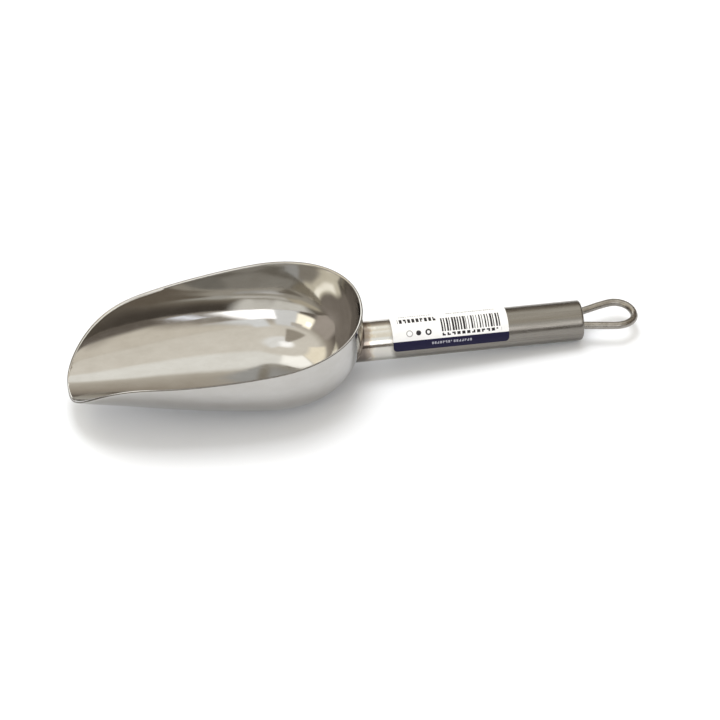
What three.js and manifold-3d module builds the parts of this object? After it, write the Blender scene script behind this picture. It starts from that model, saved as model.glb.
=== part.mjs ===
// Ice scoop: a pressed stainless bowl welded to a hollow stainless handle that ends in a wire loop.
// Millimetres, +Z up. The scoop lies on a table at z = 0: its belly and the far end of its handle
// touch the table, and its tip is in the air. +X runs from the tip to the loop.
import * as THREE from "three";
import { ParametricGeometry } from "three/addons/geometries/ParametricGeometry.js";
import { mergeVertices } from "three/addons/utils/BufferGeometryUtils.js";
import Module from "manifold-3d";

const wasm = await Module();
wasm.setup();

// --- Driving dimensions ------------------------------------------------------------------------

const CLEARANCE = 0.3; // gap left between pieces that touch

// Bowl, measured on its outer face, with x counted from the tip.
const BOWL_LENGTH = 139.7;
const BOWL_HALF_WIDTH = 39.6;
const SHEET = 1.2;
const WIDEST_X = 92.5; // the plan outline is widest here
const NOSE_BLUNTNESS = 1.86; // two powers that round the nose of the plan outline
const NOSE_FULLNESS = 2.73;
const BACK_ROUNDNESS = 2.12; // power of the superellipse behind the widest place
const TIP_HEIGHT = 14.0;
const SHOULDER_HEIGHT = 33.5; // the side rim's straight line, carried forward to the tip
const BACK_HEIGHT = 41.4; // the rim at the back
const NOSE_LENGTH = 41.3; // the rim falls below its straight line in front of this
const NOSE_DROP_POWER = 2.67;
const KEEL_SLOPE = 0.1425; // the keel line drops this much for each millimetre towards the back
const KEEL_START_X = 25; // the nose's mesh fans out from here
const SECTION_ROUNDNESS = 2.6; // power of the U-shaped cross-section
const EDGE_SQUARENESS = 0.6; // the sheet's edge: 1 is a half circle, and less is flatter
const EDGE_SLANT = 0.25; // slope of the cut edge, which is higher on the outer side
const TIP_SECTION_SHARE = 0.75; // share of the full U that the sheet spans at the tip
const FULL_SECTION_X = 92; // from here back the section is a whole U with upright walls
const FLATTENING_POWER = 3; // of the section's change from there to the tip

// Handle, with s counted along its axis from the back of the bowl.
const TUBE_RADIUS = 9.5;
const TUBE_WALL = 1.0;
const HANDLE_LENGTH = 104.1; // to the outer face of the end cap
const HANDLE_START_HEIGHT = 16.4; // height of the axis at the back of the bowl
const HANDLE_RUN_IN = 26; // length in front of the bowl's back that the bowl's wall trims off
const WELD_SIZE = 1.3; // reach of the weld bead along the tube, and up the bowl
const WELD_FLATNESS = 1.6; // power of the bead's face: 1 is a quarter circle, 2 a straight chamfer

// End cap: a pressed cup that plugs the tube.
const CAP_FLANGE = 1.8; // thickness of the part that shows
const CAP_EDGE_RADIUS = 1.1;
const CAP_WALL = 1.0;
const SKIRT_WALL = 0.6;
const SKIRT_LENGTH = 5;

// Hanging loop, with reach counted from the outer face of the end cap.
const WIRE_RADIUS = 1.75;
const LEG_DEPTH = 8; // length of each leg behind the cap's outer face
const LEG_OFFSET = 4.6; // from the handle's axis to each leg, where it leaves the cap
const BEND_REACH = 17; // the loop is widest here, and ends in half an ellipse
const LOOP_REACH = 26;
const LOOP_HALF_WIDTH = 8.2;
const LEG_RISE = 0.7; // the legs leave the cap this far above the handle's axis
const LOOP_RISE = 1.7; // and the loop bows up to this
const LEG_BENDS = [ // reach, offset and rise of each leg on its way out to the bend
  [5.5, 6.0, 1.1],
  [11.5, 7.4, 1.5],
];
const BEND_ANGLES = [0, 25, 50, 72]; // degrees round the bend that the wire passes through
const LEG_WELD = 0.7; // width of the weld ring round each leg, inside the cap

// Label, wrapped round the handle from its near side over the top.
const LABEL_START = 12.5;
const LABEL_LENGTH = 55.2;
const LABEL_THICKNESS = 0.15;
const LABEL_GAP = 0.1;
const LABEL_FROM = THREE.MathUtils.degToRad(1.4); // angles round the handle from its near side
const LABEL_TO = THREE.MathUtils.degToRad(140.6);

// The handle falls until the lower edge of its cap, where the rounding starts, is on the table.
const REST_LENGTH = HANDLE_LENGTH - CAP_EDGE_RADIUS;
const HANDLE_FALL =
  Math.asin(HANDLE_START_HEIGHT / Math.hypot(REST_LENGTH, TUBE_RADIUS)) -
  Math.atan2(TUBE_RADIUS, REST_LENGTH);

// Mesh steps.
const BOWL_COLUMNS = 104; // round the rim
const BOWL_ROWS = 14; // from keel to rim
const EDGE_ROWS = 4; // across the rounded edge of the sheet
const SLOPE_STEP = 1e-3; // step, as a share of a turn or of a row, that slopes are taken over
const LAST_SLOPE = 0.985;
const LEAST_HALF_WIDTH = 0.01; // stands in for the plan outline's zero width at the tip
const MERGE_DISTANCE = 1e-4;
const TUBE_SIDES = 64;
const WELD_ROWS = 6; // across the face of the bead
const WIRE_SIDES = 14;
const WIRE_STEPS = 72;
const HOLE_SIDES = 24;
const LABEL_STEPS = 24;

// --- Materials ---------------------------------------------------------------------------------

const polishedSteel = new THREE.MeshStandardMaterial({ color: 0xb9b6b0, roughness: 0.12, metalness: 1 });
const satinSteel = new THREE.MeshStandardMaterial({ color: 0xa59e94, roughness: 0.38, metalness: 1 });
const wireSteel = new THREE.MeshStandardMaterial({ color: 0x9a938b, roughness: 0.32, metalness: 1 });
const weldSteel = new THREE.MeshStandardMaterial({ color: 0x85796c, roughness: 0.55, metalness: 1 });
const labelPaper = new THREE.MeshStandardMaterial({ color: 0xf6f5f2, roughness: 0.45, metalness: 0 });

// --- Solids ------------------------------------------------------------------------------------

// Joins a closed geometry's shared vertices and drops the triangles that collapse at its poles.
function joined(geometry) {
  const bare = geometry.clone();
  bare.deleteAttribute("normal");
  bare.deleteAttribute("uv");
  const merged = mergeVertices(bare, MERGE_DISTANCE);
  const corners = merged.index.array;
  const kept = [];
  for (let i = 0; i < corners.length; i += 3) {
    const [a, b, c] = [corners[i], corners[i + 1], corners[i + 2]];
    if (a !== b && b !== c && c !== a) {
      kept.push(a, b, c);
    }
  }
  merged.setIndex(kept);
  merged.computeVertexNormals();
  return merged;
}

function solidOf(geometry) {
  const closed = joined(geometry);
  const vertProperties = new Float32Array(closed.attributes.position.array);
  const triVerts = new Uint32Array(closed.index.array);
  return new wasm.Manifold(new wasm.Mesh({ numProp: 3, vertProperties, triVerts }));
}

function geometryOf(solid) {
  const mesh = solid.getMesh();
  const geometry = new THREE.BufferGeometry();
  geometry.setAttribute("position", new THREE.BufferAttribute(mesh.vertProperties, 3));
  geometry.setIndex(new THREE.BufferAttribute(mesh.triVerts, 1));
  geometry.computeVertexNormals();
  return geometry;
}

function meshOf(name, geometry, material) {
  const mesh = new THREE.Mesh(geometry, material);
  mesh.name = name;
  return mesh;
}

// A solid of revolution about the X axis, from the [x, radius] corners of a closed outline.
function turned(corners) {
  const outline = [...corners, corners[0]].map(([x, radius]) => new THREE.Vector2(radius, x));
  return new THREE.LatheGeometry(outline, TUBE_SIDES).rotateZ(-Math.PI / 2);
}

// --- Bowl --------------------------------------------------------------------------------------

// Half the width of the plan outline at x.
function halfWidth(x) {
  if (x < WIDEST_X) {
    const ahead = 1 - Math.max(x, 0) / WIDEST_X;
    return BOWL_HALF_WIDTH * (1 - ahead ** NOSE_BLUNTNESS) ** (1 / NOSE_FULLNESS);
  }
  const behind = Math.min((x - WIDEST_X) / (BOWL_LENGTH - WIDEST_X), 1);
  return BOWL_HALF_WIDTH * (1 - behind ** BACK_ROUNDNESS) ** (1 / BACK_ROUNDNESS);
}

function rimHeight(x) {
  const straight = SHOULDER_HEIGHT + (BACK_HEIGHT - SHOULDER_HEIGHT) * (x / BOWL_LENGTH);
  const nose = Math.max(1 - x / NOSE_LENGTH, 0) ** NOSE_DROP_POWER;
  return straight - (SHOULDER_HEIGHT - TIP_HEIGHT) * nose;
}

function keelHeight(x) {
  return TIP_HEIGHT - KEEL_SLOPE * x;
}

// How far (x, y) lies out from the keel: 0 on it and 1 at the rim.
function spread(x, y) {
  if (x < WIDEST_X) {
    return Math.abs(y) / Math.max(halfWidth(x), LEAST_HALF_WIDTH);
  }
  const behind = (x - WIDEST_X) / (BOWL_LENGTH - WIDEST_X);
  const sideways = Math.abs(y) / BOWL_HALF_WIDTH;
  return (behind ** BACK_ROUNDNESS + sideways ** BACK_ROUNDNESS) ** (1 / BACK_ROUNDNESS);
}

// One quarter of a superellipse: 1 over its middle, falling upright to 0 at its end.
function arch(share) {
  return Math.max(1 - share ** SECTION_ROUNDNESS, 0) ** (1 / SECTION_ROUNDNESS);
}

// Height of the bowl's outer face over (x, y).
function outerHeight(x, y) {
  const forward = Math.max(1 - x / FULL_SECTION_X, 0);
  const share = 1 - (1 - TIP_SECTION_SHARE) * forward ** FLATTENING_POWER;
  const lip = arch(share);
  const depth = (arch(share * Math.min(spread(x, y), 1)) - lip) / (1 - lip);
  return rimHeight(x) - (rimHeight(x) - keelHeight(x)) * depth;
}

// A point of the outer face. Around runs from 0 at the tip along the near side, -Y, to 0.5 at the
// back, and on to 1. Out runs from 0 on the keel to 1 at the rim, on a straight line in plan that
// fans out from either end of the keel.
function outerPoint(around, out) {
  const rimX = (BOWL_LENGTH * (1 - Math.cos(2 * Math.PI * around))) / 2;
  const rimY = -Math.sign(Math.sin(2 * Math.PI * around)) * halfWidth(rimX);
  const keelX = THREE.MathUtils.clamp(rimX, KEEL_START_X, WIDEST_X);
  const x = keelX + (rimX - keelX) * Math.sin((out * Math.PI) / 2);
  const y = rimY * Math.sin((out * Math.PI) / 2);
  return new THREE.Vector3(x, y, outerHeight(x, y));
}

function rimTangent(around) {
  return outerPoint(around + SLOPE_STEP, 1).sub(outerPoint(around - SLOPE_STEP, 1)).normalize();
}

// The outer face's normal. At the rim, where the face's slope has no end, it is taken a little inside.
function outerNormal(around, out) {
  if (out === 0) {
    return new THREE.Vector3(-KEEL_SLOPE, 0, -1).normalize();
  }
  const inside = Math.min(out, LAST_SLOPE);
  const along = outerPoint(around + SLOPE_STEP, inside).sub(outerPoint(around - SLOPE_STEP, inside));
  const outward = outerPoint(around, inside + SLOPE_STEP).sub(outerPoint(around, inside - SLOPE_STEP));
  return along.cross(outward).normalize();
}

// Half the sheet's thickness, times a sine or cosine, squared off.
function edgeOffset(share) {
  return (SHEET / 2) * Math.sign(share) * Math.abs(share) ** EDGE_SQUARENESS;
}

// The sheet's surface as one closed loop of rows: out along the outer face, over the rounded edge
// and back along the inner face.
function bowlGeometry() {
  const rows = 2 * BOWL_ROWS + EDGE_ROWS;
  const sheetPoint = (around, turn, target) => {
    const row = Math.round(turn * rows);
    const out = Math.min(row, rows - row, BOWL_ROWS) / BOWL_ROWS;
    const normal = outerNormal(around, out);
    const middle = outerPoint(around, out).addScaledVector(normal, -SHEET / 2);
    const edge = THREE.MathUtils.clamp((row - BOWL_ROWS) / EDGE_ROWS, 0, 1) * Math.PI;
    const across = edgeOffset(Math.cos(edge));
    target.copy(middle).addScaledVector(normal, across);
    if (out === 1) {
      const upward = normal.clone().cross(rimTangent(around));
      target.addScaledVector(upward, edgeOffset(Math.sin(edge)) + EDGE_SLANT * across);
    }
  };
  return new ParametricGeometry(sheetPoint, BOWL_COLUMNS, rows);
}

// The space inside the outer face, grown by the clearance, with a lid across the rim.
function bowlSpaceGeometry() {
  const spacePoint = (around, turn, target) => {
    const row = Math.round(turn * (BOWL_ROWS + 1));
    if (row > BOWL_ROWS) {
      target.set((KEEL_START_X + WIDEST_X) / 2, 0, BACK_HEIGHT);
      return;
    }
    const out = row / BOWL_ROWS;
    target.copy(outerPoint(around, out)).addScaledVector(outerNormal(around, out), CLEARANCE);
  };
  return new ParametricGeometry(spacePoint, BOWL_COLUMNS, BOWL_ROWS + 1);
}

// The belly is pressed flat where it stands on the table.
function makeBowl() {
  const size = 2 * BOWL_LENGTH;
  const table = new THREE.BoxGeometry(size, size, size).translate(0, 0, -size / 2);
  const solid = solidOf(bowlGeometry()).subtract(solidOf(table));
  return meshOf("bowl", geometryOf(solid), polishedSteel);
}

// --- Handle ------------------------------------------------------------------------------------

const handle = new THREE.Group();
handle.position.set(BOWL_LENGTH, 0, HANDLE_START_HEIGHT);
handle.rotation.y = HANDLE_FALL;
handle.updateMatrix();

const bowlSpace = new THREE.Mesh(bowlSpaceGeometry().applyMatrix4(handle.matrix.clone().invert()));
const capStart = HANDLE_LENGTH - CAP_FLANGE;
const tubeEnd = capStart - CLEARANCE;

function makeTube() {
  const bore = TUBE_RADIUS - TUBE_WALL;
  const blank = turned([
    [-HANDLE_RUN_IN, bore],
    [-HANDLE_RUN_IN, TUBE_RADIUS],
    [tubeEnd, TUBE_RADIUS],
    [tubeEnd, bore],
  ]);
  return meshOf("handle_tube", geometryOf(solidOf(blank).subtract(solidOf(bowlSpace.geometry))), satinSteel);
}

// How far along the handle the bowl reaches, on the line at this radius and angle round it.
function reachOfBowl(radius, angle) {
  const start = new THREE.Vector3(HANDLE_RUN_IN, -radius * Math.cos(angle), radius * Math.sin(angle));
  const [hit] = new THREE.Raycaster(start, new THREE.Vector3(-1, 0, 0)).intersectObject(bowlSpace);
  return hit.point.x;
}

// A bead in the corner between bowl and tube. Each point of its section is given by how far it
// lies from the bowl, along the tube, and from the tube, up the bowl.
function makeBowlWeld() {
  const face = Array.from({ length: WELD_ROWS + 1 }, (_, i) => {
    const turn = (i / WELD_ROWS) * (Math.PI / 2);
    return [Math.cos(turn), Math.sin(turn)].map((leg) => WELD_SIZE * leg ** WELD_FLATNESS);
  });
  const section = [...face, [0, (WELD_SIZE * 2) / 3], [0, WELD_SIZE / 3], [0, 0]];
  const beadPoint = (around, turn, target) => {
    const angle = 2 * Math.PI * around;
    const [fromBowl, fromTube] = section[Math.round(turn * section.length) % section.length];
    const radius = TUBE_RADIUS + CLEARANCE + fromTube;
    const s = reachOfBowl(radius, angle) + fromBowl;
    target.set(s, -radius * Math.cos(angle), radius * Math.sin(angle));
  };
  const bead = new ParametricGeometry(beadPoint, TUBE_SIDES, section.length);
  return meshOf("bowl_weld", joined(bead), weldSteel);
}

// The wire's centre line, from the inner end of the near leg round to that of the far leg.
function loopRoute() {
  const side = [
    new THREE.Vector3(-LEG_DEPTH, LEG_OFFSET, LEG_RISE),
    new THREE.Vector3(-CAP_WALL, LEG_OFFSET, LEG_RISE),
    ...LEG_BENDS.map((bend) => new THREE.Vector3(...bend)),
  ];
  for (const angle of BEND_ANGLES.map(THREE.MathUtils.degToRad)) {
    const reach = BEND_REACH + (LOOP_REACH - BEND_REACH) * Math.sin(angle);
    const rise = LOOP_RISE - (LOOP_RISE - LEG_RISE) * (1 - Math.cos(angle));
    side.push(new THREE.Vector3(reach, LOOP_HALF_WIDTH * Math.cos(angle), rise));
  }
  const end = new THREE.Vector3(LOOP_REACH, 0, LEG_RISE);
  const near = side.map((point) => point.clone().multiply(new THREE.Vector3(1, -1, 1)));
  return new THREE.CatmullRomCurve3([...near, end, ...side.reverse()]);
}

function makeLoop() {
  const section = new THREE.Shape().absarc(0, 0, WIRE_RADIUS, 0, 2 * Math.PI);
  const settings = { extrudePath: loopRoute(), steps: WIRE_STEPS, curveSegments: WIRE_SIDES / 2 };
  const wire = new THREE.ExtrudeGeometry(section, settings).translate(HANDLE_LENGTH, 0, 0);
  return meshOf("hanging_loop", joined(wire), wireSteel);
}

function makeCap() {
  const skirtRadius = TUBE_RADIUS - TUBE_WALL - CLEARANCE;
  const innerFace = HANDLE_LENGTH - CAP_WALL;
  const skirtEnd = capStart - SKIRT_LENGTH;
  const edge = [0, 30, 60, 90].map(THREE.MathUtils.degToRad).map((angle) => [
    HANDLE_LENGTH - CAP_EDGE_RADIUS * (1 - Math.sin(angle)),
    TUBE_RADIUS - CAP_EDGE_RADIUS * (1 - Math.cos(angle)),
  ]);
  const cup = turned([
    [innerFace, 0],
    [innerFace, skirtRadius - SKIRT_WALL],
    [skirtEnd, skirtRadius - SKIRT_WALL],
    [skirtEnd, skirtRadius],
    [capStart, skirtRadius],
    [capStart, TUBE_RADIUS],
    ...edge,
    [HANDLE_LENGTH, 0],
  ]);
  let solid = solidOf(cup);
  for (const side of [-1, 1]) {
    const radius = WIRE_RADIUS + CLEARANCE;
    const hole = new THREE.CylinderGeometry(radius, radius, 2 * LEG_DEPTH, HOLE_SIDES);
    hole.rotateZ(Math.PI / 2).translate(HANDLE_LENGTH, side * LEG_OFFSET, LEG_RISE);
    solid = solid.subtract(solidOf(hole));
  }
  return meshOf("end_cap", geometryOf(solid), satinSteel);
}

// A fillet ring round one leg, against the inner face of the cap.
function makeLegWeld(name, side) {
  const root = HANDLE_LENGTH - CAP_WALL - CLEARANCE;
  const ring = turned([
    [root, WIRE_RADIUS + CLEARANCE],
    [root - LEG_WELD, WIRE_RADIUS + CLEARANCE],
    [root, WIRE_RADIUS + CLEARANCE + LEG_WELD],
  ]);
  const mesh = meshOf(name, joined(ring), weldSteel);
  mesh.position.set(0, side * LEG_OFFSET, LEG_RISE);
  return mesh;
}

function makeLabel() {
  const inner = TUBE_RADIUS + LABEL_GAP;
  const band = new THREE.Shape();
  band.absarc(0, 0, inner + LABEL_THICKNESS, Math.PI - LABEL_FROM, Math.PI - LABEL_TO, true);
  band.absarc(0, 0, inner, Math.PI - LABEL_TO, Math.PI - LABEL_FROM, false);
  const settings = { depth: LABEL_LENGTH, bevelEnabled: false, curveSegments: LABEL_STEPS };
  const sheet = new THREE.ExtrudeGeometry(band, settings);
  const [xAxis, yAxis, zAxis] = [0, 1, 2].map((i) => new THREE.Vector3().setComponent(i, 1));
  sheet.applyMatrix4(new THREE.Matrix4().makeBasis(yAxis, zAxis, xAxis));
  const mesh = meshOf("handle_label", joined(sheet), labelPaper);
  mesh.position.x = LABEL_START;
  return mesh;
}

handle.add(
  makeTube(),
  makeBowlWeld(),
  makeCap(),
  makeLoop(),
  makeLegWeld("loop_weld_near", -1),
  makeLegWeld("loop_weld_far", 1),
  makeLabel(),
);

// --- Whole scoop, with its origin under the middle of its length ---------------------------------

const scoop = new THREE.Group();
scoop.add(makeBowl(), handle);
const extent = new THREE.Box3().setFromObject(scoop, true);
scoop.position.x = -(extent.min.x + extent.max.x) / 2;

export default scoop;
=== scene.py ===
import math

import bmesh
import bpy
import numpy as np
from mathutils import Matrix, Vector


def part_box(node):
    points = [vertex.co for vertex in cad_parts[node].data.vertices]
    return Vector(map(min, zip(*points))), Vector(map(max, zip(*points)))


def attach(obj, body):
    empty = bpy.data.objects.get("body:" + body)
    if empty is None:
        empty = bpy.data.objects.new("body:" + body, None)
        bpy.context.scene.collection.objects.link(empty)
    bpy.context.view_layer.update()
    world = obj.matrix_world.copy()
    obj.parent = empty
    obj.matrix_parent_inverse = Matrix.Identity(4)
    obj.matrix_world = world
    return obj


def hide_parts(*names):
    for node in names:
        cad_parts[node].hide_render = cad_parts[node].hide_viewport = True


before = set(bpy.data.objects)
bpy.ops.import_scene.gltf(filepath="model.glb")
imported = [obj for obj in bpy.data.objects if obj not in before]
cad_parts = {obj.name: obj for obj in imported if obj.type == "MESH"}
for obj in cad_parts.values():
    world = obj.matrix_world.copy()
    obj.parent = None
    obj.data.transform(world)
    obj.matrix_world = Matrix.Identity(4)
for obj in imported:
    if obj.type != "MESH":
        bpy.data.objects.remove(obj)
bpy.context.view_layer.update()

MM = 0.001

# --- Shape, in millimetres, as part.mjs states it ----------------------------------------------------

# Bowl, measured on its outer face, with x counted from the tip.
BOWL_LENGTH = 139.7
BOWL_HALF_WIDTH = 39.6
SHEET = 1.2
WIDEST_X = 92.5  # the plan outline is widest here
NOSE_BLUNTNESS = 1.86  # two powers that round the nose of the plan outline
NOSE_FULLNESS = 2.73
BACK_ROUNDNESS = 2.12  # power of the superellipse behind the widest place
TIP_HEIGHT = 14.0
SHOULDER_HEIGHT = 33.5  # the side rim's straight line, carried forward to the tip
BACK_HEIGHT = 41.4  # the rim at the back
NOSE_LENGTH = 41.3  # the rim falls below its straight line in front of this
NOSE_DROP_POWER = 2.67
KEEL_SLOPE = 0.1425  # the keel line drops this much for each millimetre towards the back
KEEL_START_X = 25  # the nose's mesh fans out from here
SECTION_ROUNDNESS = 2.6  # power of the U-shaped cross-section
EDGE_SQUARENESS = 0.6  # the sheet's edge: 1 is a half circle, and less is flatter
EDGE_SLANT = 0.25  # slope of the cut edge, which is higher on the outer side
TIP_SECTION_SHARE = 0.75  # share of the full U that the sheet spans at the tip
FULL_SECTION_X = 92  # from here back the section is a whole U with upright walls
FLATTENING_POWER = 3  # of the section's change from there to the tip

# Handle: s is counted along its axis from the back of the bowl.
TUBE_RADIUS = 9.5
TUBE_WALL = 1.0
HANDLE_LENGTH = 104.1  # to the outer face of the end cap
HANDLE_START_HEIGHT = 16.4  # height of the axis at the back of the bowl
WELD_SIZE = 1.3  # reach of the weld bead along the tube, and up the bowl
WELD_FLATNESS = 1.6  # power of the bead's face: 1 is a quarter circle, 2 a straight chamfer
CAP_FLANGE = 1.8  # thickness of the part of the cap that shows
CAP_EDGE_RADIUS = 1.1
CAP_WALL = 1.0
SKIRT_WALL = 0.6
SKIRT_LENGTH = 5
SKIRT_GAP = 0.1

# The handle falls until the lower edge of its cap, where the rounding starts, is on the table.
REST_LENGTH = HANDLE_LENGTH - CAP_EDGE_RADIUS
HANDLE_FALL = (math.asin(HANDLE_START_HEIGHT / math.hypot(REST_LENGTH, TUBE_RADIUS))
               - math.atan2(TUBE_RADIUS, REST_LENGTH))

# Hanging loop: reach is counted from the outer face of the cap.
WIRE_RADIUS = 1.75
LEG_DEPTH = 8  # length of each leg behind the cap's outer face
LEG_OFFSET = 4.6  # from the handle's axis to each leg, where it leaves the cap
BEND_REACH = 17  # the loop is widest here, and ends in half an ellipse
LOOP_REACH = 26
LOOP_HALF_WIDTH = 8.2
LEG_RISE = 0.7  # the legs leave the cap this far above the handle's axis
LOOP_RISE = 1.7  # and the loop bows up to this
LEG_BENDS = [(5.5, 6.0, 1.1), (11.5, 7.4, 1.5)]  # reach, offset and rise on the way out to the bend
BEND_ANGLES = np.radians([0, 25, 50, 72])  # round the bend, where the wire passes through
HOLE_GAP = 0.3

# The weld bead's unevenness, as shares of its size: height, waves in one turn, and phase.
WELD_WAVES = [(0.1, 3, 0.7), (0.07, 7, 2.0), (0.05, 12, 0.0)]
RIPPLE_HEIGHT = 0.045
RIPPLES_IN_TURN = 72
# The bead's hidden corners, along and out from where bowl and tube meet, as shares of its size.
WELD_ROOT = [(0, 0.5), (-0.15, -0.1), (0.5, -0.1)]

# Label: angles run round the handle from its near side.
LABEL_START = 12.5
LABEL_LENGTH = 55.2
LABEL_LIFT = 0.03  # gap between tube and label
LABEL_THICKNESS = 0.12
LABEL_CORNER = 2.0
LABEL_FROM = math.radians(1.4)
LABEL_TO = math.radians(140.6)
LABEL_HEIGHT = (LABEL_TO - LABEL_FROM) * TUBE_RADIUS
BAND_HEIGHT = 4.9  # of the navy band along the label's lower edge

# Print on the label, in millimetres from its lower corner next to the bowl: left, right, low, high
# and pitch of each row, and the middle, outer and inner radius of each ring.
BARS = (23.3, 51.5, 7.9, 15.0, 1.3)
MARK_ROWS = [
    (23.0, 51.8, 5.9, 7.3, 2.35),
    (3.1, 21.5, 13.9, 16.7, 2.0),
    (4.6, 20.0, 19.4, 20.4, 1.1),
    (26.5, 50.0, 18.3, 19.1, 0.9),
]
BAND_MARKS = (18.3, 37.4, 2.3, 3.5, 1.3)
RING_LEVEL = 8.3
BLACK_RINGS = [(12.3, 1.2, 0), (17.0, 1.5, 0.75)]
GREY_RING = (8.0, 1.6, 1.15)
INKED_SHARE = 0.8

# Mesh steps.
LEAST_HALF_WIDTH = 0.01  # stands in for the plan outline's zero width at the tip
LEAST_RADIUS = 0.001  # stands in for the axis in a turned outline, and merges into one point
MERGE_DISTANCE = 2e-6  # points closer than this many metres become one
LABEL_MERGE_DISTANCE = 1e-7
SLOPE_STEP = 1e-3  # a share of a turn or of a row, that slopes are taken over
FIRST_SLOPE = 0.02
LAST_SLOPE = 0.985
BOWL_COLUMNS = 320
BOWL_ROWS = 44
EDGE_ROWS = 8
TUBE_COLUMNS = 160
TUBE_ROWS = 14
WELD_COLUMNS = 360
WELD_ROWS = 10
CAP_EDGE_ROWS = 9
HOLE_COLUMNS = 48
WIRE_COLUMNS = 32
WIRE_STEPS = 8
LABEL_COLUMNS = 48
LABEL_ROWS = 40
LABEL_CORNER_ROWS = 8

# How far along the handle the bowl's wall is looked for, and how often that stretch is halved.
REACH_LIMITS = (-30.0, 6.0)
REACH_HALVINGS = 30


# --- Bowl surface ------------------------------------------------------------------------------------

def half_width(x):
    """Half the bowl's width in plan."""
    ahead = np.clip(1 - x / WIDEST_X, 0, 1)
    behind = np.clip((x - WIDEST_X) / (BOWL_LENGTH - WIDEST_X), 0, 1)
    front = (1 - ahead ** NOSE_BLUNTNESS) ** (1 / NOSE_FULLNESS)
    back = (1 - behind ** BACK_ROUNDNESS) ** (1 / BACK_ROUNDNESS)
    return BOWL_HALF_WIDTH * np.where(x < WIDEST_X, front, back)


def rim_height(x):
    straight = SHOULDER_HEIGHT + (BACK_HEIGHT - SHOULDER_HEIGHT) * x / BOWL_LENGTH
    nose = np.maximum(1 - x / NOSE_LENGTH, 0) ** NOSE_DROP_POWER
    return straight - (SHOULDER_HEIGHT - TIP_HEIGHT) * nose


def keel_height(x):
    return TIP_HEIGHT - KEEL_SLOPE * x


def spread(x, y):
    """How far (x, y) lies out from the keel: 0 on it and 1 at the rim."""
    front = np.abs(y) / np.maximum(half_width(np.minimum(x, WIDEST_X)), LEAST_HALF_WIDTH)
    behind = np.maximum(x - WIDEST_X, 0) / (BOWL_LENGTH - WIDEST_X)
    sideways = np.abs(y) / BOWL_HALF_WIDTH
    back = (behind ** BACK_ROUNDNESS + sideways ** BACK_ROUNDNESS) ** (1 / BACK_ROUNDNESS)
    return np.where(x < WIDEST_X, front, back)


def arch(share):
    """The height of a superellipse's quarter, 1 in the middle and 0 at its end."""
    return np.maximum(1 - share ** SECTION_ROUNDNESS, 0) ** (1 / SECTION_ROUNDNESS)


def outer_height(x, y):
    """The outer face: a U from the keel up to the rim, which flattens to a dish towards the tip."""
    forward = np.maximum(1 - x / FULL_SECTION_X, 0)
    share = 1 - (1 - TIP_SECTION_SHARE) * forward ** FLATTENING_POWER
    lip = arch(share)
    depth = (arch(share * np.minimum(spread(x, y), 1)) - lip) / (1 - lip)
    return rim_height(x) - (rim_height(x) - keel_height(x)) * depth


def outer_point(around, out):
    """A point of the outer face: around is 0 at the tip and 0.5 at the back, out is 1 at the rim."""
    rim_x = BOWL_LENGTH * (1 - np.cos(2 * np.pi * around)) / 2
    rim_y = -np.sign(np.sin(2 * np.pi * around)) * half_width(rim_x)
    keel_x = np.clip(rim_x, KEEL_START_X, WIDEST_X)
    x = keel_x + (rim_x - keel_x) * np.sin(out * np.pi / 2)
    y = rim_y * np.sin(out * np.pi / 2)
    return np.stack([x, y, outer_height(x, y)], axis=-1)


def unit(vectors):
    return vectors / np.linalg.norm(vectors, axis=-1, keepdims=True)


def outer_normal(around, out):
    """The outward direction there, with slopes taken a little away from the keel and the rim."""
    inside = np.clip(out, FIRST_SLOPE, LAST_SLOPE)
    along = outer_point(around + SLOPE_STEP, inside) - outer_point(around - SLOPE_STEP, inside)
    outward = outer_point(around, inside + SLOPE_STEP) - outer_point(around, inside - SLOPE_STEP)
    return unit(np.cross(along, outward))


def sheet_points():
    """The pressed sheet, out along its outer face, over its rounded edge and back inside."""
    rows = 2 * BOWL_ROWS + EDGE_ROWS
    row = np.arange(rows + 1)
    out = np.minimum(np.minimum(row, rows - row), BOWL_ROWS) / BOWL_ROWS
    turn = np.clip((row - BOWL_ROWS) / EDGE_ROWS, 0, 1) * np.pi
    around = np.arange(BOWL_COLUMNS)[:, None] / BOWL_COLUMNS
    around, out = np.broadcast_arrays(around, out)
    normal = outer_normal(around, out)
    tangent = unit(outer_point(around + SLOPE_STEP, 1.0) - outer_point(around - SLOPE_STEP, 1.0))
    upward = np.cross(normal, tangent) * (out == 1)[..., None]
    points = outer_point(around, out) - normal * SHEET / 2
    across, over = (np.sign(wave) * np.abs(wave) ** EDGE_SQUARENESS * SHEET / 2
                    for wave in (np.cos(turn), np.sin(turn)))
    points = points + normal * across[:, None] + upward * (over + EDGE_SLANT * across)[:, None]
    points[..., 2] = np.maximum(points[..., 2], 0)
    return points


# Where the bowl's tip and the handle's axis lie in the row's frame, in millimetres.
SHEET_POINTS = sheet_points()
TIP = Vector((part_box("bowl")[0].x / MM - SHEET_POINTS[..., 0].min(), 0, 0))
HANDLE = (Matrix.Translation(TIP + Vector((BOWL_LENGTH, 0, HANDLE_START_HEIGHT)))
          @ Matrix.Rotation(HANDLE_FALL, 4, "Y"))


# --- Mesh helpers ------------------------------------------------------------------------------------

def to_row_frame(points, place):
    """Millimetre points in a piece's own frame, as metres in the row's frame."""
    turn = np.array(place.to_3x3())
    return (points @ turn.T + np.array(place.translation)) * MM


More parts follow.
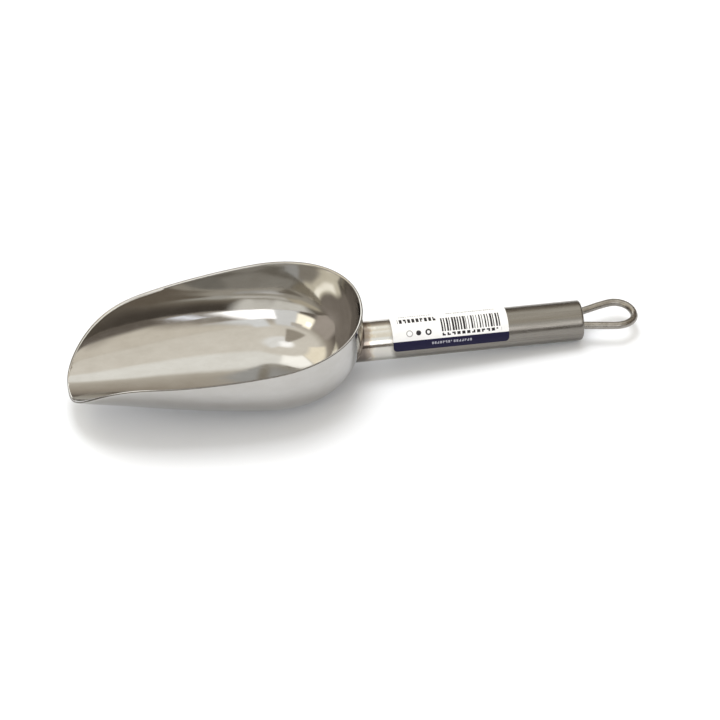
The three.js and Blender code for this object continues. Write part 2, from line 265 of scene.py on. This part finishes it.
def grid_object(name, points, close_rows=True, caps=(), second_material=()):
    """An object from a grid of points, whose columns run all the way round.

    Rows in caps are closed by a face, and rows in second_material take the second material.
    """
    columns, rows = points.shape[:2]
    mesh = bmesh.new()
    verts = [[mesh.verts.new(point) for point in column] for column in points]
    for i in range(columns):
        for j in range(rows if close_rows else rows - 1):
            corners = [(i, j), (i, j + 1), (i + 1, j + 1), (i + 1, j)]
            face = mesh.faces.new([verts[a % columns][b % rows] for a, b in corners])
            face.smooth = True
            face.material_index = int(j in second_material)
    for j in caps:
        mesh.faces.new([column[j] for column in verts])
    return finish_mesh(name, mesh)


def finish_mesh(name, mesh, merge=MERGE_DISTANCE):
    """Joins coincident points, turns the faces outwards, and makes the object."""
    bmesh.ops.remove_doubles(mesh, verts=mesh.verts, dist=merge)
    bmesh.ops.dissolve_degenerate(mesh, edges=mesh.edges, dist=merge / 4)
    if mesh.calc_volume(signed=True) < 0:
        bmesh.ops.reverse_faces(mesh, faces=mesh.faces)
    data = bpy.data.meshes.new(name)
    mesh.to_mesh(data)
    mesh.free()
    made = bpy.data.objects.new(name, data)
    bpy.context.scene.collection.objects.link(made)
    return made


def sharpen(piece, degrees=40):
    """Smooth shading, with a crease wherever two faces meet at more than this angle."""
    piece.data.shade_smooth()
    piece.data.set_sharp_from_angle(angle=math.radians(degrees))


def round_handle(s, radius, angle):
    """Points this far along the handle, this far from its axis, at this angle from its near side."""
    return np.stack(np.broadcast_arrays(s, -radius * np.cos(angle), radius * np.sin(angle)), axis=-1)


def full_turn(columns):
    """Angles once round the handle, one to each column."""
    return 2 * np.pi * np.arange(columns)[:, None] / columns


def turned_points(outline, columns):
    """A [s, radius] outline, turned round the handle's axis: (columns, rows, 3)."""
    s, radius = np.array(outline, float).T
    return round_handle(s, radius, full_turn(columns))


def join_in_place(piece, slot, *nodes):
    """Lets a piece ride on the root body in place of these CAD nodes."""
    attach(piece, "root")
    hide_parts(*nodes)


# --- Node helpers ------------------------------------------------------------------------------------

class Nodes:
    """A node tree, with one short call for each kind of node used here."""

    def __init__(self, tree):
        self.tree = tree

    def node(self, kind, inputs=None, **settings):
        made = self.tree.nodes.new(kind)
        for key, value in settings.items():
            setattr(made, key, value)
        for key, value in (inputs or {}).items():
            self.plug(made.inputs[key], value)
        return made

    def plug(self, socket, value):
        if isinstance(value, bpy.types.NodeSocket):
            self.tree.links.new(value, socket)
        else:
            socket.default_value = value

    def math(self, operation, *values):
        made = self.node("ShaderNodeMath", operation=operation)
        for socket, value in zip(made.inputs, values):
            self.plug(socket, value)
        return made.outputs[0]

    def place(self, scale, along_handle=False):
        """Object coordinates divided by these sizes in metres, square to the handle if asked."""
        spot = self.node("ShaderNodeTexCoord").outputs["Object"]
        turn = (0, HANDLE_FALL, 0) if along_handle else (0, 0, 0)
        origin = HANDLE.translation * MM if along_handle else (0, 0, 0)
        mapping = self.node("ShaderNodeMapping", vector_type="TEXTURE")
        for key, value in {"Vector": spot, "Location": origin, "Rotation": turn, "Scale": scale}.items():
            self.plug(mapping.inputs[key], value)
        return mapping.outputs[0]

    def noise(self, vector, detail, roughness=0.5):
        inputs = {"Vector": vector, "Scale": 1.0, "Detail": detail, "Roughness": roughness}
        return self.node("ShaderNodeTexNoise", inputs).outputs["Fac"]

    def remap(self, value, low, high, to_low, to_high):
        """The value's place between low and high, as a place between to_low and to_high."""
        inputs = {"Value": value, "From Min": low, "From Max": high, "To Min": to_low, "To Max": to_high}
        return self.node("ShaderNodeMapRange", inputs).outputs[0]

    def ramp(self, value, stops):
        """A colour for the value, from (place, colour) stops."""
        made = self.node("ShaderNodeValToRGB", {"Fac": value})
        elements = made.color_ramp.elements
        while len(elements) < len(stops):
            elements.new(0.5)
        for element, (position, colour) in zip(elements, stops):
            element.position = position
            element.color = (*colour, 1)
        return made.outputs[0]

    def mix(self, factor, first, second):
        made = self.node("ShaderNodeMix", data_type="RGBA")
        sockets = [socket for socket in made.inputs if socket.enabled]
        for socket, value in zip(sockets, (factor, first, second)):
            self.plug(socket, value)
        return next(socket for socket in made.outputs if socket.enabled)

    def bump(self, height, distance, strength, normal=None):
        inputs = {"Height": height, "Distance": distance, "Strength": strength}
        if normal is not None:
            inputs["Normal"] = normal
        return self.node("ShaderNodeBump", inputs).outputs[0]


class Shader(Nodes):
    """A new material with a Principled surface."""

    def __init__(self, name):
        self.material = bpy.data.materials.new(name)
        self.material.use_nodes = True
        super().__init__(self.material.node_tree)
        self.surface = self.tree.nodes["Principled BSDF"]

    def set(self, **inputs):
        for key, value in inputs.items():
            self.plug(self.surface.inputs[key.replace("_", " ")], value)


# --- Materials ---------------------------------------------------------------------------------------

# Millimetres along the handle from the back of the bowl.
BUFFED_END = (11, 14)  # the tube's bright stretch next to the bowl fades out here
TINT_ENDS = (-2, 5)  # the heat tint's colours run from brown to pale over this stretch
HEAT_FADE = (1.5, 4.5)  # and its strength fades out here
BUFFED_STEEL = (0.53, 0.515, 0.48, 1)
BUFFED_SHINE = 0.13  # how much less rough the bright stretch is

BLACK_INK = (0.02, 0.018, 0.022, 1)
NAVY_INK = (0.005, 0.004, 0.03, 1)
PALE_INK = (0.6, 0.61, 0.7, 1)


def polished_steel():
    """Mirror-polished sheet: slow waves from pressing, faint polishing lines, a few hazy patches."""
    shader = Shader("polished_steel")
    wave = shader.noise(shader.place((0.03, 0.03, 0.03)), detail=1)
    lines = shader.noise(shader.place((0.03, 0.0004, 0.0004)), detail=4)
    haze = shader.noise(shader.place((0.012, 0.006, 0.006)), detail=5, roughness=0.65)
    tone = shader.ramp(haze, [(0.3, (0.43, 0.418, 0.4)), (0.7, (0.475, 0.466, 0.453))])
    rough = shader.math("ADD", shader.remap(haze, 0.35, 0.75, 0.045, 0.1),
                        shader.remap(lines, 0.4, 0.8, 0, 0.05))
    waved = shader.bump(wave, 0.0006, 0.35)
    shader.set(Base_Color=tone, Metallic=1.0, Roughness=rough,
               Normal=shader.bump(lines, 0.00001, 0.25, waved))
    return shader.material


def painted_dark_edge_steel():
    """The outer side of the sheet's cut edge, painted near black and a little rough, with small nicks: a
    painted dark reflection line along the rim.
    """
    shader = Shader("painted_dark_edge_steel")
    nicks = shader.noise(shader.place((0.0008, 0.0008, 0.0008)), detail=4)
    # Painted dark reflection: the near-black tones stand in for the dark line along the rim's edge.
    tone = shader.ramp(nicks, [(0.3, (0.09, 0.08, 0.07)), (0.7, (0.22, 0.21, 0.2))])
    shader.set(Base_Color=tone, Metallic=1.0, Roughness=shader.remap(nicks, 0.3, 0.7, 0.25, 0.4),
               Normal=shader.bump(nicks, 0.00004, 0.4))
    return shader.material


def satin_steel():
    """Drawn tube: fine lines along the handle, soft blotches, and heat tint next to the bowl's weld."""
    shader = Shader("satin_steel")
    fine = shader.noise(shader.place((0.02, 0.0002, 0.0002), True), detail=4, roughness=0.6)
    broad = shader.noise(shader.place((0.06, 0.0015, 0.0015), True), detail=3)
    blotch = shader.noise(shader.place((0.012, 0.008, 0.008), True), detail=4)
    spots = shader.noise(shader.place((0.0022, 0.0022, 0.0022), True), detail=4)
    from_bowl = shader.node("ShaderNodeSeparateXYZ", {"Vector": shader.place((MM, MM, MM), True)})
    ragged = shader.math("ADD", from_bowl.outputs[0], shader.remap(blotch, 0.3, 0.7, -1.2, 1.2))
    dull = shader.ramp(broad, [(0.3, (0.18, 0.168, 0.151)), (0.7, (0.235, 0.222, 0.202))])
    buffed = shader.remap(ragged, *BUFFED_END, 1, 0)
    steel = shader.mix(buffed, dull, BUFFED_STEEL)
    tint = shader.ramp(shader.remap(ragged, *TINT_ENDS, 0, 1), [
        (0.0, (0.12, 0.095, 0.08)),
        (0.45, (0.3, 0.25, 0.21)),
        (0.75, (0.62, 0.56, 0.46)),
        (1.0, (0.7, 0.68, 0.64)),
    ])
    spotted = shader.math("ADD", ragged, shader.remap(spots, 0.3, 0.7, 2.5, -2.5))
    heat = shader.remap(spotted, *HEAT_FADE, 0.9, 0)
    rough = shader.math("ADD", shader.remap(fine, 0.3, 0.7, 0.2, 0.34),
                        shader.remap(blotch, 0.4, 0.8, 0, 0.06))
    rough = shader.math("SUBTRACT", rough, shader.math("MULTIPLY", buffed, BUFFED_SHINE))
    shader.set(Base_Color=shader.mix(heat, steel, tint), Metallic=1.0, Roughness=rough,
               Anisotropic=0.35, Normal=shader.bump(fine, 0.00002, 0.5))
    return shader.material


def wire_steel():
    """Dull drawn wire, with fine lines and small blotches."""
    shader = Shader("wire_steel")
    fine = shader.noise(shader.place((0.004, 0.0004, 0.0004), True), detail=4)
    blotch = shader.noise(shader.place((0.003, 0.003, 0.003), True), detail=4)
    steel = shader.ramp(blotch, [(0.3, (0.23, 0.213, 0.19)), (0.7, (0.32, 0.303, 0.278))])
    shader.set(Base_Color=steel, Metallic=1.0, Roughness=shader.remap(fine, 0.3, 0.7, 0.22, 0.36),
               Normal=shader.bump(fine, 0.00003, 0.5))
    return shader.material


def weld_steel():
    """Weld bead: grainy, browned by heat."""
    shader = Shader("weld_steel")
    grain = shader.noise(shader.place((0.0012, 0.0012, 0.0012)), detail=6, roughness=0.65)
    patch = shader.noise(shader.place((0.005, 0.005, 0.005)), detail=3)
    tone = shader.ramp(patch, [
        (0.3, (0.11, 0.09, 0.075)),
        (0.5, (0.24, 0.2, 0.17)),
        (0.72, (0.45, 0.41, 0.36)),
    ])
    shader.set(Base_Color=tone, Metallic=1.0, Roughness=shader.remap(grain, 0.3, 0.7, 0.22, 0.5),
               Normal=shader.bump(grain, 0.00012, 0.6))
    return shader.material


def label_paper():
    """Printed label: a navy band, bars, and plain marks and rings that spell nothing."""
    shader = Shader("label_paper")
    spot = shader.node("ShaderNodeTexCoord").outputs["UV"]
    uv = shader.node("ShaderNodeSeparateXYZ", {"Vector": spot})
    x = shader.math("MULTIPLY", uv.outputs[0], LABEL_LENGTH)
    y = shader.math("MULTIPLY", uv.outputs[1], LABEL_HEIGHT)

    def within(value, low, high):
        """1 where the value lies between low and high, and 0 elsewhere."""
        return shader.math("COMPARE", value, (low + high) / 2, (high - low) / 2)

    def area(left, right, low, high):
        return shader.math("MULTIPLY", within(x, left, right), within(y, low, high))

    def cells(value, size):
        return shader.math("FLOOR", shader.math("DIVIDE", value, size))

    def share_of_cell(value, size):
        return shader.math("FRACT", shader.math("DIVIDE", value, size))

    def random(across, up=0.0):
        """A number from 0 to 1 for each cell."""
        cell = shader.node("ShaderNodeCombineXYZ", {"X": across, "Y": up}).outputs[0]
        return shader.node("ShaderNodeTexWhiteNoise", {"Vector": cell}).outputs["Value"]

    def bars(left, right, low, high, pitch):
        """Upright bars of random width, one to each stretch of this pitch."""
        width = shader.remap(random(cells(x, pitch)), 0, 1, 0.25, 0.8)
        printed = shader.math("LESS_THAN", share_of_cell(x, pitch), width)
        return shader.math("MULTIPLY", printed, area(left, right, low, high))

    def marks(left, right, low, high, pitch):
        """A row of small block marks that stand in for print: two cells by two and a gap each."""
        up = shader.math("SUBTRACT", y, low)
        value = random(cells(x, pitch / 3), cells(up, (high - low) / 2))
        inked = shader.math("LESS_THAN", value, INKED_SHARE)
        mark = shader.math("LESS_THAN", share_of_cell(x, pitch), 2 / 3)
        printed = shader.math("MULTIPLY", inked, mark)
        return shader.math("MULTIPLY", printed, area(left, right, low, high))

    def ring(middle, outer, inner):
        across = shader.math("SUBTRACT", x, middle)
        up = shader.math("SUBTRACT", y, RING_LEVEL)
        squares = shader.math("ADD", shader.math("POWER", across, 2), shader.math("POWER", up, 2))
        return within(squares, inner ** 2, outer ** 2)

    inks = [bars(*BARS)]
    inks += [marks(*row) for row in MARK_ROWS]
    inks += [ring(*black) for black in BLACK_RINGS]
    inks.append(shader.math("MULTIPLY", ring(*GREY_RING), 0.6))
    ink = inks[0]
    for other in inks[1:]:
        ink = shader.math("MAXIMUM", ink, other)
    fibre = shader.noise(shader.place((0.0006, 0.0006, 0.0006)), detail=5)
    scuff = shader.noise(shader.place((0.006, 0.003, 0.003)), detail=4)
    paper = shader.ramp(scuff, [(0.3, (0.74, 0.75, 0.77)), (0.65, (0.8, 0.81, 0.83))])
    printed = shader.mix(ink, paper, BLACK_INK)
    band = shader.mix(shader.math("MULTIPLY", marks(*BAND_MARKS), 0.55), NAVY_INK, PALE_INK)
    face = shader.mix(shader.math("LESS_THAN", y, BAND_HEIGHT), printed, band)
    shader.set(Base_Color=face, Roughness=shader.remap(scuff, 0.3, 0.7, 0.4, 0.55),
               Specular_IOR_Level=0.2, Normal=shader.bump(fibre, 0.00001, 0.4))
    return shader.material


# --- Pieces ------------------------------------------------------------------------------------------

def make_bowl(polished, painted_dark_edge):
    """The pressed sheet: mirror polished, but for the outer half of its cut edge, which is painted near
    black as a painted dark reflection line.
    """
    # These edge rows take the painted dark reflection material.
    painted_dark_edge_rows = range(BOWL_ROWS + 1, BOWL_ROWS + EDGE_ROWS // 2)
    points = to_row_frame(SHEET_POINTS, Matrix.Translation(TIP))
    bowl = grid_object("bowl_sheet", points, close_rows=False, second_material=painted_dark_edge_rows)
    bowl.data.materials.append(polished)
    bowl.data.materials.append(painted_dark_edge)
    join_in_place(bowl, "polished_steel", "bowl")


def wall_reach(radius, angle):
    """How far along the handle the bowl's outer face reaches, at this radius and angle round it."""
    low = np.full(np.broadcast(radius, angle).shape, REACH_LIMITS[0])
    high = np.full_like(low, REACH_LIMITS[1])
    for _ in range(REACH_HALVINGS):
        s = (low + high) / 2
        local = round_handle(s, radius, angle)
        x, y, z = np.moveaxis(to_row_frame(local, HANDLE) / MM - np.array(TIP), -1, 0)
        inside = (spread(x, y) < 1) & (z > outer_height(x, y))
        low = np.where(inside, s, low)
        high = np.where(inside, high, s)
    return high


def make_tube(satin):
    """The hollow tube. Its front end follows the bowl's wall, under the weld."""
    end = HANDLE_LENGTH - CAP_FLANGE
    out = np.linspace(0, 1, TUBE_ROWS)
    share = np.concatenate([out, out[::-1]])
    radius = np.repeat([TUBE_RADIUS, TUBE_RADIUS - TUBE_WALL], TUBE_ROWS)
    angle = full_turn(TUBE_COLUMNS)
    start = wall_reach(radius, angle)
    points = round_handle(start + (end - start) * share, radius, angle)
    tube = grid_object("tube", to_row_frame(points, HANDLE))
    sharpen(tube)
    tube.data.materials.append(satin)
    join_in_place(tube, "satin_steel", "handle_tube")


def make_bowl_weld(weld):
    """The bead between bowl and tube: uneven, with the small ripples of a hand-laid weld."""
    turn = np.linspace(0, np.pi / 2, WELD_ROWS)
    face = np.stack([np.cos(turn), np.sin(turn)], axis=-1) ** WELD_FLATNESS
    along, out = np.concatenate([face, WELD_ROOT]).T
    angle = full_turn(WELD_COLUMNS)
    uneven = sum(height * np.sin(waves * angle + phase) for height, waves, phase in WELD_WAVES)
    ripple = RIPPLE_HEIGHT * np.abs(np.sin(RIPPLES_IN_TURN / 2 * angle))
    size = WELD_SIZE * (1 + uneven + ripple)
    radius = TUBE_RADIUS + size * out
    points = round_handle(wall_reach(radius, angle) + size * along, radius, angle)
    bead = grid_object("weld_bead", to_row_frame(points, HANDLE))
    bead.data.materials.append(weld)
    join_in_place(bead, "weld_steel", "bowl_weld")


def make_cap(satin):
    """The pressed cup in the tube's end, with a hole for each leg of the loop."""
    skirt = TUBE_RADIUS - TUBE_WALL - SKIRT_GAP
    start = HANDLE_LENGTH - CAP_FLANGE
    inner = HANDLE_LENGTH - CAP_WALL
    skirt_end = start - SKIRT_LENGTH
    edge = [(HANDLE_LENGTH - CAP_EDGE_RADIUS * (1 - math.sin(turn)),
             TUBE_RADIUS - CAP_EDGE_RADIUS * (1 - math.cos(turn)))
            for turn in np.linspace(0, math.pi / 2, CAP_EDGE_ROWS)]
    outline = [(inner, LEAST_RADIUS), (inner, skirt - SKIRT_WALL), (skirt_end, skirt - SKIRT_WALL),
               (skirt_end, skirt), (start, skirt), (start, TUBE_RADIUS), *edge,
               (HANDLE_LENGTH, LEAST_RADIUS)]
    cap = grid_object("cap", to_row_frame(turned_points(outline, TUBE_COLUMNS), HANDLE))
    drills = [make_drill(side * LEG_OFFSET) for side in (-1, 1)]
    for drill in drills:
        cut = cap.modifiers.new("hole", "BOOLEAN")
        cut.operation = "DIFFERENCE"
        cut.object = drill
    apply_modifiers(cap)
    for drill in drills:
        bpy.data.objects.remove(drill)
    sharpen(cap)
    cap.data.materials.append(satin)
    join_in_place(cap, "satin_steel", "end_cap")


def make_drill(offset):
    """A cylinder that cuts the hole for one leg of the loop through the cap's wall."""
    radius = WIRE_RADIUS + HOLE_GAP
    start = HANDLE_LENGTH - 4 * CAP_WALL
    end = HANDLE_LENGTH + 2 * CAP_WALL
    outline = [(start, LEAST_RADIUS), (start, radius), (end, radius), (end, LEAST_RADIUS)]
    points = turned_points(outline, HOLE_COLUMNS) + np.array([0, offset, LEG_RISE])
    return grid_object("drill", to_row_frame(points, HANDLE))


def apply_modifiers(piece):
    """Gives a piece the mesh that its modifiers make of it."""
    bpy.context.view_layer.update()
    evaluated = piece.evaluated_get(bpy.context.evaluated_depsgraph_get())
    data = bpy.data.meshes.new_from_object(evaluated)
    piece.modifiers.clear()
    piece.data = data


def loop_route():
    """The wire's centre line in the handle's frame, from one leg's inner end to the other's."""
    far = [(-LEG_DEPTH, LEG_OFFSET, LEG_RISE), (-CAP_WALL, LEG_OFFSET, LEG_RISE), *LEG_BENDS]
    for angle in BEND_ANGLES:
        far.append((BEND_REACH + (LOOP_REACH - BEND_REACH) * math.sin(angle),
                    LOOP_HALF_WIDTH * math.cos(angle),
                    LOOP_RISE - (LOOP_RISE - LEG_RISE) * (1 - math.cos(angle))))
    far = np.array(far)
    near = far * (1, -1, 1)
    return np.concatenate([near, [(LOOP_REACH, 0, LEG_RISE)], far[::-1]]) + (HANDLE_LENGTH, 0, 0)


def between(first, second, start, end, t):
    """The place at t on the straight way from first, at start, to second, at end."""
    return (first * (end - t) + second * (t - start)) / (end - start)


def smooth_route(points, steps):
    """A centripetal Catmull-Rom curve through the points, evenly stepped in each stretch."""
    ends = np.concatenate([[2 * points[0] - points[1]], points, [2 * points[-1] - points[-2]]])
    route = []
    for four in zip(ends, ends[1:], ends[2:], ends[3:]):
        gaps = [math.sqrt(np.linalg.norm(after - before)) for before, after in zip(four, four[1:])]
        knots = np.cumsum([0, *gaps])
        for t in np.linspace(knots[1], knots[2], steps, endpoint=False):
            first, middle, last = (between(*four[n:n + 2], *knots[n:n + 2], t) for n in range(3))
            lower = between(first, middle, knots[0], knots[2], t)
            upper = between(middle, last, knots[1], knots[3], t)
            route.append(between(lower, upper, knots[1], knots[2], t))
    return np.array([*route, points[-1]])


def make_loop(wire):
    """The hanging loop: one bent wire, with both ends inside the cap."""
    route = smooth_route(loop_route(), WIRE_STEPS)
    forward = unit(np.gradient(route, axis=0))
    side = unit(np.cross(forward, (0.0, 0.0, 1.0)))
    top = np.cross(side, forward)
    angle = full_turn(WIRE_COLUMNS)[..., None]
    points = route + WIRE_RADIUS * (side * np.cos(angle) + top * np.sin(angle))
    last = len(route) - 1
    loop = grid_object("wire_loop", to_row_frame(points, HANDLE), close_rows=False, caps=(0, last))
    sharpen(loop, degrees=60)
    loop.data.materials.append(wire)
    join_in_place(loop, "wire_steel", "hanging_loop")


def label_outline():
    """The flat label: how far up each row lies, and how far along the handle each point of it is."""
    turn = np.linspace(0, np.pi / 2, LABEL_CORNER_ROWS)
    up = np.concatenate([LABEL_CORNER * (1 - np.cos(turn)),
                         np.linspace(LABEL_CORNER, LABEL_HEIGHT, LABEL_ROWS)[1:]])
    corner = np.maximum(LABEL_CORNER - up, 0)
    inset = LABEL_CORNER - np.sqrt(LABEL_CORNER ** 2 - corner ** 2)
    share = np.linspace(0, 1, LABEL_COLUMNS)[:, None]
    return up, LABEL_START + inset + (LABEL_LENGTH - 2 * inset) * share


def make_label(paper):
    """The label's sheet, bent round the tube, with its two lower corners rounded."""
    up, s = label_outline()
    angle = LABEL_FROM + up / TUBE_RADIUS
    mesh = bmesh.new()
    layer = mesh.loops.layers.uv.new("UVMap")
    uv = {}
    sheets = []
    for radius in (TUBE_RADIUS + LABEL_LIFT, TUBE_RADIUS + LABEL_LIFT + LABEL_THICKNESS):
        points = to_row_frame(round_handle(s, radius, angle), HANDLE)
        sheet = [[mesh.verts.new(point) for point in column] for column in points]
        for i, column in enumerate(sheet):
            for j, vert in enumerate(column):
                uv[vert] = ((s[i, j] - LABEL_START) / LABEL_LENGTH, up[j] / LABEL_HEIGHT)
        sheets.append(sheet)
    below, above = sheets
    last_i = LABEL_COLUMNS - 1
    last_j = len(up) - 1
    faces = []
    for i in range(last_i):
        for j in range(last_j):
            faces.append([above[i][j], above[i + 1][j], above[i + 1][j + 1], above[i][j + 1]])
            faces.append([below[i][j], below[i][j + 1], below[i + 1][j + 1], below[i + 1][j]])
    border = [(i, 0) for i in range(last_i)]
    border += [(last_i, j) for j in range(last_j)]
    border += [(i, last_j) for i in range(last_i, 0, -1)]
    border += [(0, j) for j in range(last_j, 0, -1)]
    for (i, j), (next_i, next_j) in zip(border, border[1:] + border[:1]):
        faces.append([below[i][j], below[next_i][next_j], above[next_i][next_j], above[i][j]])
    for corners in faces:
        face = mesh.faces.new(corners)
        for loop in face.loops:
            loop[layer].uv = uv[loop.vert]
    label = finish_mesh("label", mesh, merge=LABEL_MERGE_DISTANCE)
    sharpen(label, degrees=50)
    label.data.materials.append(paper)
    join_in_place(label, "label_paper", "handle_label")


# --- Studio ------------------------------------------------------------------------------------------

# The camera looks at a point on the scoop from this side, height and tilt.
VIEW_AZIMUTH = math.radians(7.288)
VIEW_ELEVATION = math.radians(43.085)
VIEW_ROLL = math.radians(3.582)
VIEW_DISTANCE = 1.5059
VIEW_LENS = 160.3
AIM_FROM_TIP = 0.130
AIM_HEIGHT = 0.015
AIM_RIGHT = 0.00765
AIM_UP = -0.00623


def make_camera():
    """The camera of the photograph, rolled a little to the side."""
    sin_a, cos_a = math.sin(VIEW_AZIMUTH), math.cos(VIEW_AZIMUTH)
    sin_e, cos_e = math.sin(VIEW_ELEVATION), math.cos(VIEW_ELEVATION)
    level = Vector((cos_a, -sin_a, 0))
    upright = Vector((sin_a * sin_e, cos_a * sin_e, cos_e))
    back = Vector((-sin_a * cos_e, -cos_a * cos_e, sin_e))
    right = level * math.cos(VIEW_ROLL) - upright * math.sin(VIEW_ROLL)
    up = level * math.sin(VIEW_ROLL) + upright * math.cos(VIEW_ROLL)
    aim = Vector((TIP.x * MM + AIM_FROM_TIP, 0, AIM_HEIGHT)) + right * AIM_RIGHT + up * AIM_UP
    place = Matrix((right, up, back)).transposed().to_4x4()
    place.translation = aim + back * VIEW_DISTANCE
    data = bpy.data.cameras.new("camera")
    data.lens = VIEW_LENS
    camera = bpy.data.objects.new("camera", data)
    camera.matrix_world = place
    bpy.context.scene.collection.objects.link(camera)
    bpy.context.scene.camera = camera


FLOOR_HALF_SIZE = 3
FLOOR_COLOUR = (0.85, 0.88, 0.94, 1)  # offsets the room's warm light, so that the floor looks white
FLOOR_ROUGHNESS = 0.9
FLOOR_DROP = 0.0001  # keeps the floor from sharing the plane of the belly's flat


def make_floor():
    """The pale table top, which is stage and not part of the scoop."""
    mesh = bmesh.new()
    bmesh.ops.create_grid(mesh, x_segments=1, y_segments=1, size=FLOOR_HALF_SIZE)
    data = bpy.data.meshes.new("floor")
    mesh.to_mesh(data)
    mesh.free()
    floor = bpy.data.objects.new("floor", data)
    floor.location.z = -FLOOR_DROP
    shader = Shader("floor_white")
    shader.set(Base_Color=FLOOR_COLOUR, Roughness=FLOOR_ROUGHNESS)
    floor.data.materials.append(shader.material)
    bpy.context.scene.collection.objects.link(floor)


# A broad lamp overhead, which steel doesn't mirror.
LAMP_PLACE = Vector((0, 0.25, 1.5))
LAMP_SIZE = 0.7
LAMP_POWER = 10


def make_lamp():
    data = bpy.data.lights.new("lamp", "AREA")
    data.size = LAMP_SIZE
    data.energy = LAMP_POWER
    lamp = bpy.data.objects.new("lamp", data)
    lamp.location = LAMP_PLACE
    lamp.rotation_euler = (-LAMP_PLACE).to_track_quat("-Z", "Y").to_euler()
    lamp.visible_glossy = False
    bpy.context.scene.collection.objects.link(lamp)


# The room's walls and ceiling, by height above the horizon in degrees.
ROOM_STRENGTH = 1.54
ROOM = [
    (0, (0.1, 0.085, 0.07)),
    (22, (0.18, 0.155, 0.13)),
    (37, (0.38, 0.335, 0.275)),
    (46, (0.6, 0.56, 0.48)),
    (54, (0.8, 0.76, 0.67)),
    (90, (0.84, 0.8, 0.71)),
]

# Soft light panels in the room, in degrees: the side that they are on, their middle and half width
# sideways (+ is towards +X), their middle and half height above the horizon, blur, and light.
# The first one is straight overhead, and each one lies over those before it.
PANELS = [
    ("far", 0, 180, 90, 7, 4, (1.4, 1.4, 1.38)),
    ("far", 88, 34, 48, 12, 5, (0.34, 0.29, 0.23)),
    ("far", 36, 18, 57, 10, 4, (0.95, 0.94, 0.88)),
    ("far", -47, 24, 55, 12, 6, (1.1, 1.01, 0.81)),
    ("far", -1, 19, 60, 8, 3, (1.32, 1.3, 1.22)),
    ("far", -18, 16, 29, 17, 9, (1.65, 1.65, 1.58)),
    ("near", 58, 75, 81, 5, 4, (0.98, 0.98, 0.95)),
    ("near", 38, 9, 37, 15, 6, (0.74, 0.69, 0.59)),
    ("near", 16, 11, 46, 9, 5, (0.88, 0.9, 0.9)),
    ("near", -78, 19, 20, 20, 8, (0.45, 0.4, 0.35)),
    ("near", -41, 21, 72, 14, 5, (0.4, 0.36, 0.3)),
    ("near", -20, 15, 33, 18, 6, (0.84, 0.85, 0.84)),
    ("near", -46.5, 12.5, 32, 12, 4, (1.5, 1.42, 1.18)),
    ("near", -53, 3.5, 35, 4, 2, (2.6, 2.55, 2.3)),
    ("near", -36, 9, 45, 4, 3, (0.6, 0.56, 0.49)),
    ("near", 23, 4, 24, 12, 2, (0.32, 0.29, 0.25)),
    ("near", 24.6, 0.9, 20, 5, 1, (1.15, 1.2, 1.3)),
    ("near", 6.5, 14.5, 28, 10, 3, (2.0, 2.0, 2.0)),
]


def make_room():
    """A plain room, pale above and brown at the horizon, with soft light panels."""
    world = bpy.data.worlds.new("room")
    bpy.context.scene.world = world
    world.use_nodes = True
    room = Nodes(world.node_tree)
    spot = room.node("ShaderNodeTexCoord").outputs["Generated"]
    x, y, z = room.node("ShaderNodeSeparateXYZ", {"Vector": spot}).outputs
    height = room.math("DEGREES", room.math("ARCSINE", z))
    minus_y = room.math("MULTIPLY", y, -1.0)
    sideways = {
        "far": room.math("DEGREES", room.math("ARCTAN2", x, y)),
        "near": room.math("DEGREES", room.math("ARCTAN2", x, minus_y)),
    }

    def band(value, middle, half, blur):
        """1 within this half width of the middle, and 0 outside its blurred edge."""
        away = room.math("ABSOLUTE", room.math("SUBTRACT", value, middle))
        return room.remap(away, half - blur / 2, half + blur / 2, 1, 0)

    light = room.ramp(room.remap(height, 0, 90, 0, 1), [(angle / 90, tone) for angle, tone in ROOM])
    for side, middle, half, level, half_height, blur, tone in PANELS:
        mask = room.math("MULTIPLY", band(sideways[side], middle, half, blur),
                         band(height, level, half_height, blur))
        light = room.mix(mask, light, (*tone, 1))
    background = room.tree.nodes["Background"]
    room.plug(background.inputs["Color"], light)
    room.plug(background.inputs["Strength"], ROOM_STRENGTH)


# --- Scene -------------------------------------------------------------------------------------------

satin = satin_steel()
weld = weld_steel()
make_camera()
make_floor()
make_lamp()
make_room()
bpy.context.scene.view_settings.view_transform = "Standard"
make_bowl(polished_steel(), painted_dark_edge_steel())
make_tube(satin)
make_bowl_weld(weld)
make_cap(satin)
make_loop(wire_steel())
make_label(label_paper())
for node in ("loop_weld_near", "loop_weld_far"):
    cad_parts[node].data.materials.clear()
    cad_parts[node].data.materials.append(weld)
